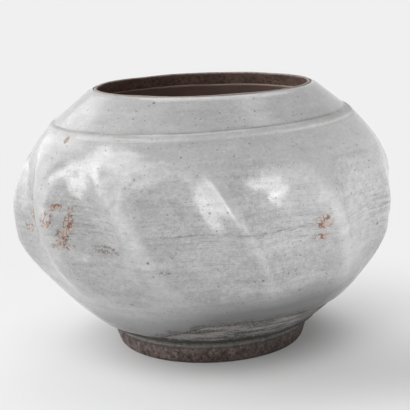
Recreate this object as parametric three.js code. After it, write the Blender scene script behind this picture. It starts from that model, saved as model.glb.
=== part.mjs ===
/*
 * A wide, squat stoneware jar with a narrow mouth, in millimetres, +Z up.
 *
 * The jar is thrown in parts and joined while the clay is damp: a lower bowl on a turned foot ring,
 * an upper bowl luted to it at the belly, a conical collar set on the shoulder, and a low cordon
 * that covers that joint. Twelve slanting scoops are pressed into the wall from outside. A pale
 * glaze covers the outside down to an uneven edge above the foot, and a second one lines the inside
 * up to a bare band below the lip.
 *
 * The origin is the middle of the ring that the jar stands on. Angles are in degrees from the
 * front (-Y) towards the right (+X).
 */
import * as THREE from 'three';
import { mergeVertices } from 'three/addons/utils/BufferGeometryUtils.js';

// Foot ring
const footRadius = 65;
const footHeight = 14;
const footWidth = 11;
const footTaper = 2.6;
const footSwellHeight = 9;
const footTopInset = 0.4;
const footChamfer = 1.6;
const footBevel = 1.8;

// Outer form, measured on the glaze
const bellyRadius = 125;
const bellyHeight = 96;
const bellyBandHeight = 18;
const bellyBandInset = 2.8;
const wallFootOverhang = 8;
const wallFootRise = 3.5;
const wallBendInset = 13.5;
const wallBendDrop = 29.5;
const shoulderHeight = 52;
const shoulderRise = 90;
const collarHeight = 18.9;
const rimRadius = 72.5;

// Walls and floor
const wallThickness = 6.5;
const floorThickness = 8;
const floorDish = 1.5;
const innerFloorRadius = 52;
const innerBendDrop = 9;
const lipThickness = 3.6;
const lipCrown = 0.5;

// Cordon over the shoulder joint, which was cut while the jar stood not quite level
const cordonWidth = 4.6;
const cordonRelief = 0.7;
const cordonShoulder = 0.5;
const cordonSkirt = 1;
const cordonTilt = 2;
const cordonGap = 0.45;

// Scoops pressed into the wall: the angle of the crease at the left of each, at the belly, how the
// crease slants and bends above that, and how deep the scoop is, as a share of scoopDepth
const creaseAngles = [-82, -51.5, -21, 11, 39.5, 67, 98, 128, 157, 187, 217, 247];
const creaseSlants = [0.235, 0.235, 0.235, 0.235, 0.19, 0.15, 0.2, 0.235, 0.24, 0.235, 0.23, 0.235];
const creaseBends = [0.0008, 0.0008, 0.0008, 0.0008, 0, -0.001, 0, 0.0008, 0.0006, 0.0008, 0.0006, 0.0008];
const scoopShares = [1.06, 0.94, 1.06, 1.06, 0.7, 0.5, 0.9, 1.06, 0.94, 1, 0.9, 1];
const creaseRise = 2;
const scoopDepth = 9;
const scoopLowest = 0.6;
const scoopDrop = 54;
const scoopTopGap = 2;
const scoopRunIn = 38;
const scoopRunOut = 42;
const pressedThrough = 0.85;

// The bowl sagged a little to the left (-X) while it was damp, most at its widest part
const sagDepth = 2.4;
const sagRunOut = 28;

// Glaze
const glazeThickness = 1.1;
const glazeGap = 0.3;
const glazeRimDrop = 0.8;
const glazeEdgeGap = 1.5;
const glazeEdgeRise = 15;
const glazeEdgeStart = -30;
const glazeEdgeFull = 5;
const glazeEdgeFade = 85;
const glazeEdgeEnd = 150;
const glazeEdgeMargin = 14;
const innerGlazeDrop = 8.5;

// Colours
const bareClayColour = 0x6d6560;
const footClayColour = 0x62524b;
const lipClayColour = 0x50463f;
const paleGlazeColour = 0xb9b9b5;
const innerGlazeColour = 0x6f6764;

// Facets
const columnsPerScoop = 6;
const columns = creaseAngles.length * columnsPerScoop;

const degrees = THREE.MathUtils.degToRad;
const { clamp, lerp, smoothstep } = THREE.MathUtils;

// Heights worked out from the sizes above
const wallFootHeight = footHeight + wallFootRise;
const floorHeight = footHeight + floorThickness;
const bandFootHeight = bellyHeight - bellyBandHeight;
const cordonHeight = bellyHeight + shoulderHeight;
const cordonTopHeight = cordonHeight + cordonWidth;
const collarJointHeight = cordonHeight - cordonTilt - cordonSkirt;
const collarFootHeight = cordonTopHeight + cordonShoulder;
const rimHeight = collarFootHeight + collarHeight;
const scoopBottom = bellyHeight - scoopDrop;
const scoopTop = cordonHeight - scoopTopGap;
const glazeEdgeLow = wallFootHeight + glazeEdgeGap;
const glazeTopHeight = rimHeight - glazeRimDrop;
const innerGlazeHeight = rimHeight - innerGlazeDrop;
const slantFootHeight = glazeEdgeLow + glazeEdgeRise + glazeEdgeMargin;

// Outer profile
const lowerWall = new THREE.QuadraticBezierCurve(
  new THREE.Vector2(footRadius + wallFootOverhang, wallFootHeight),
  new THREE.Vector2(bellyRadius - wallBendInset, bandFootHeight - wallBendDrop),
  new THREE.Vector2(bellyRadius - bellyBandInset, bandFootHeight),
);

function shoulderRadius(height) {
  const share = (height - bellyHeight) / shoulderRise;
  return bellyRadius * Math.sqrt(Math.max(0, 1 - share * share));
}

function curveRadius(curve, height) {
  let low = 0;
  let high = 1;
  for (let step = 0; step < 30; step += 1) {
    const middle = (low + high) / 2;
    if (curve.getPoint(middle).y < height) low = middle;
    else high = middle;
  }
  return curve.getPoint((low + high) / 2).x;
}

function collarRadius(height) {
  const foot = shoulderRadius(collarFootHeight) - cordonRelief;
  const share = (height - collarFootHeight) / (rimHeight - collarFootHeight);
  return lerp(foot, rimRadius, share);
}

// The smooth outer radius below the cordon, before the scoops are pressed in
function wallRadius(height) {
  if (height < bandFootHeight) return curveRadius(lowerWall, height);
  if (height < bellyHeight) {
    const share = (height - bandFootHeight) / bellyBandHeight;
    return lerp(bellyRadius - bellyBandInset, bellyRadius, share);
  }
  return shoulderRadius(height);
}

// How much further a horizontal offset reaches than one square to the wall
function slopeStretch(radiusAt, height) {
  const step = 0.5;
  const slope = (radiusAt(height + step) - radiusAt(height - step)) / (2 * step);
  return Math.sqrt(1 + slope * slope);
}

// Scoops
function scoopStrength(height) {
  const fromBelow = smoothstep(height, scoopBottom, scoopBottom + scoopRunIn);
  const fromAbove = 1 - smoothstep(height, scoopTop - scoopRunOut, scoopTop);
  return fromBelow * fromAbove;
}

// The section of a scoop: 0 at its two creases and 1 on its lowest line, right of its middle
function hollow(across) {
  const reach = across < scoopLowest ? scoopLowest : 1 - scoopLowest;
  return 1 - ((across - scoopLowest) / reach) ** 2;
}

// The angle of a column of vertices, which follows the slant and the bend of the creases
function columnAngle(column, height) {
  const scoop = Math.floor(column / columnsPerScoop);
  const next = (scoop + 1) % creaseAngles.length;
  const across = (column % columnsPerScoop) / columnsPerScoop;
  const end = creaseAngles[next] + (next === 0 ? 360 : 0);
  const slant = lerp(creaseSlants[scoop], creaseSlants[next], across);
  const bend = lerp(creaseBends[scoop], creaseBends[next], across);
  const above = clamp(height, slantFootHeight, collarJointHeight) - bellyHeight;
  return lerp(creaseAngles[scoop], end, across) - slant * above - bend * above * above;
}

function sagOffset(column, height) {
  const fromBelow = smoothstep(height, scoopBottom, bandFootHeight);
  const fromAbove = 1 - smoothstep(height, bandFootHeight, bellyHeight + sagRunOut);
  return -sagDepth * fromBelow * fromAbove * Math.sin(degrees(columnAngle(column, height)));
}

// How far the wall departs from the smooth form
function wallOffset(column, height) {
  const scoop = Math.floor(column / columnsPerScoop);
  const across = (column % columnsPerScoop) / columnsPerScoop;
  const depth = scoopDepth * scoopShares[scoop];
  const pressed = scoopStrength(height) * (creaseRise - depth * hollow(across));
  return pressed + sagOffset(column, height);
}

// Levels: a height for each column
const level = (height) => () => height;

function tilted(height) {
  return (column) => height + cordonTilt * Math.sin(degrees(columnAngle(column, height)));
}

function glazeEdge(column) {
  const angle = columnAngle(column, glazeEdgeLow);
  const wrapped = ((angle + 180) % 360 + 360) % 360 - 180;
  const rising = smoothstep(wrapped, glazeEdgeStart, glazeEdgeFull);
  const falling = 1 - smoothstep(wrapped, glazeEdgeFade, glazeEdgeEnd);
  return glazeEdgeLow + glazeEdgeRise * rising * falling;
}

const glazeFootLevel = (column) => (glazeEdge(column) + slantFootHeight) / 2;
const collarMiddle = level((collarFootHeight + cordonTilt + rimHeight) / 2);

function levelsBetween(low, high, count) {
  return Array.from({ length: count }, (unused, step) => level(lerp(low, high, (step + 1) / (count + 1))));
}

const lowerLevels = [
  glazeEdge,
  glazeFootLevel,
  level(slantFootHeight),
  ...levelsBetween(slantFootHeight, bandFootHeight, 2),
  level(bandFootHeight),
  ...levelsBetween(bandFootHeight, bellyHeight, 1),
];
const upperLevels = levelsBetween(bellyHeight, collarJointHeight, 4);

// Rows: each is a radius and a height for every column, at a depth under the glaze surface
function wallRow(levelAt, depth) {
  return (column) => {
    const height = levelAt(column);
    const inward = depth * slopeStretch(wallRadius, height);
    return [wallRadius(height) + wallOffset(column, height) - inward, height];
  };
}

function cordonRow(levelAt, relief, depth) {
  return (column) => {
    const height = levelAt(column);
    const inward = depth * slopeStretch(shoulderRadius, height);
    return [shoulderRadius(height) + relief - inward, height];
  };
}

function collarRow(levelAt, depth) {
  return (column) => {
    const height = levelAt(column);
    return [collarRadius(height) - depth * slopeStretch(collarRadius, height), height];
  };
}

const plainRow = (radius, height) => () => [radius, height];

function cordonRows(depth) {
  return [
    cordonRow(tilted(cordonHeight), 0, depth),
    cordonRow(tilted(cordonHeight + cordonShoulder), cordonRelief, depth),
    cordonRow(tilted(cordonTopHeight), cordonRelief, depth),
  ];
}

// Inner profile of the clay, from the lip down to the floor
const clayDepth = glazeThickness + glazeGap;
const innerBellyRadius = bellyRadius - clayDepth - wallThickness;
const jointStretch = slopeStretch(shoulderRadius, collarJointHeight);
const jointOuterRadius = shoulderRadius(collarJointHeight) - clayDepth * jointStretch;
const jointInnerRadius = jointOuterRadius - wallThickness * jointStretch;
const lipInnerRadius = rimRadius - lipThickness;
const innerNarrowing = jointInnerRadius / innerBellyRadius;
const innerRise = (collarJointHeight - bellyHeight) / Math.sqrt(1 - innerNarrowing ** 2);

function innerCollarPoint(height) {
  const share = (height - collarJointHeight) / (rimHeight - lipCrown - collarJointHeight);
  return new THREE.Vector2(lerp(jointInnerRadius, lipInnerRadius, share), height);
}

function innerShoulderPoint(height) {
  const share = (height - bellyHeight) / innerRise;
  return new THREE.Vector2(innerBellyRadius * Math.sqrt(1 - share * share), height);
}

const innerBowl = new THREE.QuadraticBezierCurve(
  new THREE.Vector2(innerBellyRadius, bellyHeight),
  new THREE.Vector2(
    bellyRadius - wallBendInset - wallThickness,
    bandFootHeight - wallBendDrop - innerBendDrop,
  ),
  new THREE.Vector2(innerFloorRadius, floorHeight + floorDish),
);

const upperInner = [1, 0.68, 0.34]
  .map((share) => innerShoulderPoint(lerp(bellyHeight, collarJointHeight, share)));
const lowerInner = [0, 0.22, 0.46, 0.7, 1]
  .map((share) => innerBowl.getPoint(share));
const innerFloor = new THREE.Vector2(0, floorHeight);
const lining = [innerCollarPoint(innerGlazeHeight), ...upperInner, ...lowerInner, innerFloor];

// Moves each point of a profile square to it, into the hollow
function movedInward(points, distance) {
  return points.map((point, index) => {
    const before = points[Math.max(0, index - 1)];
    const after = points[Math.min(points.length - 1, index + 1)];
    const along = after.clone().sub(before).normalize();
    const radius = index === points.length - 1 ? 0 : point.x + along.y * distance;
    return new THREE.Vector2(radius, point.y - along.x * distance);
  });
}

// Rows on the inside of the wall, where the scoops show through a little shallower
const pressedRow = (point) => (column) => [
  point.x + pressedThrough * wallOffset(column, point.y),
  point.y,
];
const pressedRows = (points) => points.map(pressedRow);

// Splits each facet along its shorter diagonal, the same way on both faces of a skin
function facets(outline) {
  const indices = [];
  for (let step = 0; step < columns; step += 1) {
    for (let row = 0; row + 1 < outline.length; row += 1) {
      const here = step * outline.length + row;
      const next = here + outline.length;
      if (outline[row + 1].y > outline[row].y) indices.push(here, next, next + 1, here, next + 1, here + 1);
      else indices.push(here, next, here + 1, next, next + 1, here + 1);
    }
  }
  return indices;
}

// A solid turned on the wheel: a lathe whose vertices are moved to their own column and row
function turned(name, rows, material) {
  const outline = rows.map((row) => new THREE.Vector2(...row(0)));
  const lathe = new THREE.LatheGeometry(outline, columns);
  lathe.setIndex(facets(outline));
  const positions = lathe.getAttribute('position');
  for (let step = 0; step <= columns; step += 1) {
    const column = step % columns;
    rows.forEach((row, index) => {
      const [radius, height] = row(column);
      const angle = degrees(columnAngle(column, height));
      const vertex = step * rows.length + index;
      positions.setXYZ(vertex, radius * Math.sin(angle), -radius * Math.cos(angle), height);
    });
  }
  lathe.deleteAttribute('normal');
  lathe.deleteAttribute('uv');
  const mesh = new THREE.Mesh(mergeVertices(lathe, 1e-3), material);
  mesh.name = name;
  return mesh;
}

const closed = (rows) => [...rows, rows[0]];

// Foot ring: its outside bulges a little and is bevelled above and below
function footRing() {
  const innerRadius = footRadius - footWidth;
  const rows = [
    plainRow(innerRadius + footChamfer, 0),
    plainRow(footRadius - footTaper - footChamfer, 0),
    plainRow(footRadius - footTaper, footChamfer),
    plainRow(footRadius, footSwellHeight),
    plainRow(footRadius - footTopInset, footHeight - footBevel),
    plainRow(footRadius - footTopInset - footBevel, footHeight),
    plainRow(innerRadius, footHeight),
    plainRow(innerRadius, footChamfer),
  ];
  return turned('foot_ring', closed(rows), clayOf(footClayColour));
}

function lowerBowl() {
  const rows = [
    plainRow(0, footHeight),
    plainRow(footRadius - footBevel, footHeight),
    wallRow(level(wallFootHeight), clayDepth),
    ...lowerLevels.map((levelAt) => wallRow(levelAt, clayDepth)),
    wallRow(level(bellyHeight), clayDepth),
    ...pressedRows(lowerInner),
    plainRow(0, floorHeight),
  ];
  return turned('lower_bowl', rows, clayOf(bareClayColour));
}

function upperBowl() {
  const rows = [
    wallRow(level(bellyHeight), clayDepth),
    ...upperLevels.map((levelAt) => wallRow(levelAt, clayDepth)),
    wallRow(level(collarJointHeight), clayDepth),
    ...pressedRows(upperInner),
    pressedRow(lowerInner[0]),
  ];
  return turned('upper_bowl', closed(rows), clayOf(bareClayColour));
}

// The joint between cordon and collar leans inwards from the shoulder to the collar's foot
const seatRadius = (jointInnerRadius + jointOuterRadius) / 2;

function shoulderCordon() {
  const collarFoot = collarRow(tilted(collarFootHeight), clayDepth);
  const rows = [
    plainRow(seatRadius + cordonGap, collarJointHeight),
    wallRow(level(collarJointHeight), clayDepth),
    ...cordonRows(clayDepth),
    (column) => {
      const [radius, height] = collarFoot(column);
      return [radius + cordonGap, height];
    },
  ];
  return turned('shoulder_cordon', closed(rows), clayOf(bareClayColour));
}

function collar() {
  const lip = rimRadius - clayDepth * slopeStretch(collarRadius, rimHeight);
  const rows = [
    plainRow(jointInnerRadius, collarJointHeight),
    plainRow(seatRadius, collarJointHeight),
    collarRow(tilted(collarFootHeight), clayDepth),
    collarRow(collarMiddle, clayDepth),
    plainRow(lip + lipCrown, rimHeight - lipCrown),
    plainRow((lip + lipInnerRadius) / 2 + lipCrown, rimHeight),
    plainRow(lipInnerRadius, rimHeight - lipCrown),
    plainRow(innerCollarPoint(innerGlazeHeight).x, innerGlazeHeight),
  ];
  return turned('collar', closed(rows), clayOf(lipClayColour));
}

function outerGlaze() {
  const skin = (depth) => [
    ...[...lowerLevels, level(bellyHeight), ...upperLevels, level(collarJointHeight)]
      .map((levelAt) => wallRow(levelAt, depth)),
    ...cordonRows(depth),
    collarRow(tilted(collarFootHeight), depth),
    collarRow(collarMiddle, depth),
    collarRow(level(glazeTopHeight), depth),
  ];
  const rows = [...skin(0), ...skin(glazeThickness).reverse()];
  return turned('outer_glaze', closed(rows), glazeOf(paleGlazeColour, 0.32));
}

function innerGlaze() {
  const under = movedInward(lining, glazeGap);
  const over = movedInward(lining, glazeGap + glazeThickness);
  const rows = [...pressedRows(under).reverse(), ...pressedRows(over)];
  return turned('inner_glaze', rows, glazeOf(innerGlazeColour, 0.45));
}

function clayOf(color) {
  return new THREE.MeshStandardMaterial({ color, roughness: 0.85, metalness: 0 });
}

function glazeOf(color, roughness) {
  return new THREE.MeshStandardMaterial({ color, roughness, metalness: 0 });
}

const jar = new THREE.Group();
jar.add(footRing(), lowerBowl(), upperBowl(), shoulderCordon(), collar(), outerGlaze(), innerGlaze());

export default jar;
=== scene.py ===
"""A wide, squat stoneware jar with a narrow mouth, dressed around its solids.

Every piece is a dense turned mesh. The forms are written in millimetres and turned into metres
when a mesh is made. Angles are in degrees from the front (-Y) towards the right (+X).
"""
import math

import bpy
import numpy as np
from mathutils import Matrix, Vector


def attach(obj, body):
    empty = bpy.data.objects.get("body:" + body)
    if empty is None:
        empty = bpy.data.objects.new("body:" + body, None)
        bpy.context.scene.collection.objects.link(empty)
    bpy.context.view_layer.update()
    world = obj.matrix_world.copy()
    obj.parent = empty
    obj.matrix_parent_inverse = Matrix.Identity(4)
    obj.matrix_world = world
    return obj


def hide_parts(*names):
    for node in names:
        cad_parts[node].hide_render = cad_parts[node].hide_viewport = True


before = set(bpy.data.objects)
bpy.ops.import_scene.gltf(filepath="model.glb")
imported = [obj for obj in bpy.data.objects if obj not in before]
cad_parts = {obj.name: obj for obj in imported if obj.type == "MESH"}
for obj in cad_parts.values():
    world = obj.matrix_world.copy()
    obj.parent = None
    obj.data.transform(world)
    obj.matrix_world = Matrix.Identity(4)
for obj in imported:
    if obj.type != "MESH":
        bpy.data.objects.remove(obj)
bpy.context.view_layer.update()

MM = 0.001

# Heights and radii of the form
FOOT_RADIUS = 65
FOOT_HEIGHT = 14
FOOT_WIDTH = 11
FOOT_TAPER = 2.6
FOOT_SWELL_HEIGHT = 9
BELLY_RADIUS = 125
BELLY_HEIGHT = 96
BAND_FOOT = 78
BAND_INSET = 2.8
WALL_FOOT_RADIUS = 73
WALL_FOOT = 17.5
BEND_RADIUS = 111.5
BEND_HEIGHT = 48.5
SHOULDER_RISE = 90
JOINT_HEIGHT = 145
CORDON_LOW = 149.8
CORDON_HIGH = 152.6
COLLAR_FOOT = 153.1
RIM_RADIUS = 72.5
RIM_HEIGHT = 172
WALL = 6.5
CORDON_RELIEF = 0.7
CORDON_TILT = 2

# Glaze
GLAZE = 1.1
GLAZE_GAP = 0.3
GLAZE_TOP = 171.2
GLAZE_LOW = 19
GLAZE_EDGE_RISE = 15
LINING_TOP = 163.5

# Scoops: the angle of the crease at the left of each, at the belly, how the crease slants and bends
# above that, how deep the scoop is, and how round the crease is
CREASES = (-82, -51.5, -21, 11, 39.5, 67, 98, 128, 157, 187, 217, 247)
SLANTS = (0.235, 0.235, 0.235, 0.235, 0.19, 0.15, 0.2, 0.235, 0.24, 0.235, 0.23, 0.235)
BENDS = (0.0008, 0.0008, 0.0008, 0.0008, 0, -0.001, 0, 0.0008, 0.0006, 0.0008, 0.0006, 0.0008)
SHARES = (1.06, 0.94, 1.06, 1.06, 0.7, 0.5, 0.9, 1.06, 0.94, 1, 0.9, 1)
ROUNDNESS = (2.5, 14, 9, 1.8, 5.5, 3, 3, 4, 3, 3.5, 3, 4)
SCOOP_DEPTH = 9
SCOOP_LOWEST = 0.6
CREASE_RISE = 2
SCOOP_FOOT = 42
SCOOP_TOP = 146
SCOOP_RUN_IN = 38
SCOOP_RUN_OUT = 42
SLANT_FOOT = 48
PRESSED_THROUGH = 0.85
SAG = 2.4
SAG_END = 124

# The ground that is seen: its light far off, and beside the jar a share of the light that falls
# there, a light of its own and a faint painted shade in front to the right, with its middle and its
# reach
GROUND = 0.87
FLOOR_SHARE = 0.64
FLOOR_GLOW = 0.276
SHADE = 0.37
SHADE_MIDDLE = (0.078, -0.086)
SHADE_REACH = (0.135, 0.051)
WORLD_LIGHT = 0.165

# The floor's own light grows over the first reach from the jar, which paints shade round its foot,
# and over the second the floor fades into the even ground
GLOW_REACH = (0.06, 0.11)
EVEN_REACH = (0.05, 0.258)
SHADE_END = 1.8

# The camera, found by fitting the jar's outline: degrees, metres, pixels and millimetres
CAMERA_YAW = -0.088
CAMERA_PITCH = 12.28
CAMERA_ROLL = 2.2
CAMERA_PLACE = (0, -0.741, 0.251)
FOCAL_PIXELS = 1127.9
PICTURE_PIXELS = 410
SENSOR_WIDTH = 36
LAMP_TARGET = Vector((0, 0, 0.09))

COLUMNS_PER_SCOOP = 48
CLAY_DEPTH = GLAZE + GLAZE_GAP
SEAM_HEIGHT = 97.2
CORDON_MIDDLE = (CORDON_LOW + CORDON_HIGH) / 2
CALM_HEIGHT = 150.5
COLLAR_MIDDLE = 160.0

# Small distances: how far the fine relief stays inside the smooth form, the gap where one piece
# of clay sits on another, and the steps over which the wall's bends are softened
RELIEF_ROOM = 0.25
SEAT_GAP = 0.02
SOFTENING = (-2.4, -1.2, 0, 1.2, 2.4)

# Rows of the glaze: up from its edge, up the wall, over the cordon and up the collar
FINE_ROWS = (30, 82, 24, 14)
COARSE_ROWS = (4, 9, 4, 3)
CORDON_ROWS_LOW = CORDON_LOW - 2.5
CORDON_ROWS_HIGH = COLLAR_FOOT + 1.5


def smoothstep(value, low, high):
    """A smooth rise from 0 at low to 1 at high."""
    share = np.clip((value - low) / (high - low), 0, 1)
    return share * share * (3 - 2 * share)


def hill(value, middle, width):
    """A rounded hill of height 1."""
    return np.exp(-((value - middle) / width) ** 2)


# Outer profile
def bezier_radius(height, start, bend, end):
    """The radius at a height on a curve of three points, each a radius and a height."""
    a = start[1] - 2 * bend[1] + end[1]
    b = 2 * (bend[1] - start[1])
    c = start[1] - height
    share = np.clip((-b + np.sqrt(np.maximum(b * b - 4 * a * c, 0))) / (2 * a), 0, 1)
    return (1 - share) ** 2 * start[0] + 2 * share * (1 - share) * bend[0] + share ** 2 * end[0]


def shoulder_radius(height):
    share = (height - BELLY_HEIGHT) / SHOULDER_RISE
    return BELLY_RADIUS * np.sqrt(np.maximum(1 - share * share, 0))


def sharp_wall(height):
    """The thrown bowl's radius, with its bends still sharp."""
    foot = (WALL_FOOT_RADIUS, WALL_FOOT)
    bend = (BEND_RADIUS, BEND_HEIGHT)
    band = (BELLY_RADIUS - BAND_INSET, BAND_FOOT)
    lower = bezier_radius(height, foot, bend, band)
    share = (height - BAND_FOOT) / (BELLY_HEIGHT - BAND_FOOT)
    middle = BELLY_RADIUS - BAND_INSET * (1 - share)
    upper = np.where(height < BELLY_HEIGHT, middle, shoulder_radius(height))
    return np.where(height < BAND_FOOT, lower, upper)


def wall_radius(height):
    return sum(sharp_wall(height + step) for step in SOFTENING) / len(SOFTENING)


def collar_radius(height):
    foot = shoulder_radius(COLLAR_FOOT) - CORDON_RELIEF
    share = (height - COLLAR_FOOT) / (RIM_HEIGHT - COLLAR_FOOT)
    return foot + (RIM_RADIUS - foot) * share


def stretch(radius_at, height):
    """Length along the profile for each millimetre of height."""
    step = 0.5
    slope = (radius_at(height + step) - radius_at(height - step)) / (2 * step)
    return np.sqrt(1 + slope * slope)


# Columns of vertices follow the slanting creases, closer together beside them
def column_places():
    steps = np.arange(COLUMNS_PER_SCOOP) / COLUMNS_PER_SCOOP
    across = 0.45 * steps + 0.55 * (0.5 - 0.5 * np.cos(math.pi * steps))
    scoop = np.repeat(np.arange(len(CREASES)), COLUMNS_PER_SCOOP)
    return scoop, np.tile(across, len(CREASES))


SCOOP, ACROSS = column_places()
START = np.array(CREASES)[SCOOP]
SPAN = np.array([*CREASES[1:], CREASES[0] + 360])[SCOOP] - START


def between_creases(values):
    """A value for each column, between those of the creases beside it."""
    values = np.array(values)
    return values[SCOOP] + (np.roll(values, -1)[SCOOP] - values[SCOOP]) * ACROSS


SLANT = between_creases(SLANTS)
BEND = between_creases(BENDS)


def column_angle(height):
    """The angle of each column at a height, along the slanting creases."""
    above = np.clip(height, SLANT_FOOT, JOINT_HEIGHT) - BELLY_HEIGHT
    return START + SPAN * ACROSS - SLANT * above - BEND * above * above


def scoop_strength(height):
    from_below = smoothstep(height, SCOOP_FOOT, SCOOP_FOOT + SCOOP_RUN_IN)
    from_above = 1 - smoothstep(height, SCOOP_TOP - SCOOP_RUN_OUT, SCOOP_TOP)
    return from_below * from_above


def hollow():
    """How far each column is pressed in, from 0 on a crease to 1 on a scoop's lowest line."""
    width = np.radians(SPAN) * BELLY_RADIUS
    before = np.array(ROUNDNESS)[SCOOP] / width
    after = np.roll(np.array(ROUNDNESS), -1)[SCOOP] / width
    left = np.sqrt(ACROSS ** 2 + before ** 2) - before
    right = np.sqrt((1 - ACROSS) ** 2 + after ** 2) - after
    across = left / (left + right)
    reach = np.where(across < SCOOP_LOWEST, SCOOP_LOWEST, 1 - SCOOP_LOWEST)
    return 1 - ((across - SCOOP_LOWEST) / reach) ** 2


HOLLOW = hollow()
DEPTH = SCOOP_DEPTH * np.array(SHARES)[SCOOP]


def wall_offset(height):
    """The scoops, and the bowl's sag towards the left."""
    from_below = smoothstep(height, SCOOP_FOOT, BAND_FOOT)
    from_above = 1 - smoothstep(height, BAND_FOOT, SAG_END)
    sag = -SAG * from_below * from_above * np.sin(np.radians(column_angle(height)))
    return scoop_strength(height) * (CREASE_RISE - DEPTH * HOLLOW) + sag


def waves(angle, height, seed, around, upward, count=7):
    """A sum of seeded sine waves that closes around the jar, between about -1 and 1."""
    draw = np.random.default_rng(seed)
    total = np.zeros(np.broadcast(angle, height).shape)
    for _ in range(count):
        turns = draw.integers(around[0], around[1] + 1)
        rise = draw.uniform(*upward) * draw.choice((-1, 1))
        phase = draw.uniform(0, 2 * math.pi)
        total += np.sin(np.radians(turns * angle) + rise * height + phase)
    return total / math.sqrt(count)


def tilt(angle):
    """How far the cordon is raised or lowered, because it isn't level."""
    return CORDON_TILT * np.sin(np.radians(angle))


def turned_round(angle):
    """The same angle between -180 and 180."""
    return (angle + 180) % 360 - 180


def glaze_edge(angle):
    """The height of the glaze's lower edge, which climbs towards the right."""
    wrapped = turned_round(angle)
    raised = smoothstep(wrapped, -30, 5) * (1 - smoothstep(wrapped, 85, 150))
    wavy = 0.5 * waves(angle, 0, 11, (5, 17), (0, 0)) + 0.25 * waves(angle, 0, 12, (25, 60), (0, 0))
    return GLAZE_LOW + 0.6 + GLAZE_EDGE_RISE * raised + wavy * (0.5 + 0.5 * raised)


# Fine relief of the thrown wall
def throwing_rings(angle, height):
    """Rings 6.3 and 8.9 mm apart, which wander and fade."""
    wander = 0.9 * waves(angle, height, 21, (1, 4), (0.01, 0.04))
    close = np.sin(2 * math.pi * (height + wander) / 6.3)
    wide = np.sin(2 * math.pi * (height - wander) / 8.9)
    strength = 0.6 + 0.4 * waves(angle, height, 22, (1, 5), (0.02, 0.06))
    return 0.045 * (close + 0.6 * wide) * strength


# Worn places, as height, middle angle, half height, half width and strength
# Streaked places also darken the glaze in patches; those at -34 and -37 darken the inside of the left
# scoop as painted shade.
STREAKED_AND_SHADED = (
    (99, -34, 13, 13, 0.9), (113, -37, 11, 7, 1.0), (96, 6, 9, 26, 0.55), (121, 24, 2, 6, 1.0),
    (99, 30, 13, 16, 0.8), (99, 62, 13, 18, 0.9), (88, 66, 9, 12, 0.6),
    (99, -68, 16, 10, 0.7), (118, -5, 8, 12, 0.4), (130, 50, 8, 12, 0.5), (112, 66, 9, 10, 0.5),
    (79, -12, 7, 26, 0.5), (70, 22, 6, 22, 0.4),
    (98, 100, 12, 18, 0.8), (97, 140, 10, 22, 0.7), (99, 185, 13, 20, 0.8), (97, 232, 10, 22, 0.7),
    (98, 268, 12, 12, 0.7),
)
PITTED = (
    (87.5, -30, 4.5, 8, 1.0), (76.5, -12, 2.2, 2.6, 1.0), (136, -40, 9, 14, 0.35),
    (70, 20, 10, 12, 0.3), (110, -2, 12, 10, 0.5),
    (74, -30, 16, 38, 0.5), (72, 20, 16, 34, 0.45), (48, 0, 8, 60, 0.4), (160, -20, 8, 45, 0.4),
    (141, 5, 7, 50, 0.35), (128, 52, 10, 14, 0.5), (118, 165, 14, 30, 0.4), (80, 210, 12, 20, 0.4),
    (120, 250, 12, 16, 0.4),
)
RUSTED = (
    (109.5, -46.5, 2.4, 5.6, 1.0), (100, -42.6, 9.5, 1.8, 1.0), (94, -44, 6, 2.3, 1.0),
    (102, -50, 5.5, 2.4, 1.0), (87, -44, 2.2, 4.6, 1.0),
    (108, -69, 4, 2.4, 0.9), (98, -67.5, 5, 2.8, 1.0), (89, -71, 4.5, 3.2, 0.9),
    (99, 34.3, 4.8, 2.2, 1.0), (89.5, 34.6, 2.2, 3.0, 1.0), (103, 196, 7, 3, 0.8),
    (92, 201, 4, 3, 0.7),
)
IRON_SPOTS = ((146.6, -54.4, 2.3, 1.35, 1.0),)
SEAM_PARTS = (
    (BELLY_HEIGHT, -4, 10, 9, 1.0), (BELLY_HEIGHT, 22, 10, 14, 0.9), (BELLY_HEIGHT, -34, 10, 10, 0.5),
    (BELLY_HEIGHT, 60, 10, 14, 0.6), (BELLY_HEIGHT, 110, 10, 25, 0.8),
    (BELLY_HEIGHT, 170, 10, 25, 0.8), (BELLY_HEIGHT, 235, 10, 30, 0.8),
)

# Crests that are rubbed matt, in the same form
DULLED = (
    (110, -22.5, 7, 4, 1.0), (98, -21.3, 8, 4, 1.0), (86, -19, 8, 4.5, 1.0), (76, -16.5, 8, 5, 1.0),
    (66, -14, 8, 6, 0.8),
    (130, -60.5, 9, 4.5, 1.0), (115, -56.5, 9, 4.5, 1.0), (100, -52.5, 9, 4, 1.0),
    (84, -48.8, 9, 4, 0.9), (70, -46, 9, 4, 0.9), (58, -43.5, 8, 4, 0.8),
    (122, -28.8, 8, 3.0, 1.0), (133, -15, 4, 4.5, 0.8), (108, 8.3, 8, 1.6, 0.6),
    (128, 33.5, 10, 5, 1.0), (112, 36.5, 9, 4, 1.0), (98, 39, 9, 4, 1.0), (134, 26, 7, 9, 0.8),
)


def worn(angle, height, places):
    """How strongly each place on the wall is worn, from 0 to 1, round the listed middles."""
    total = np.zeros(np.broadcast(angle, height).shape)
    for level, middle, tall, wide, strength in places:
        away = turned_round(angle - middle) / wide
        above = (height - level) / tall
        total = np.maximum(total, strength * np.exp(-above ** 2 - away ** 2))
    return total


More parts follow.
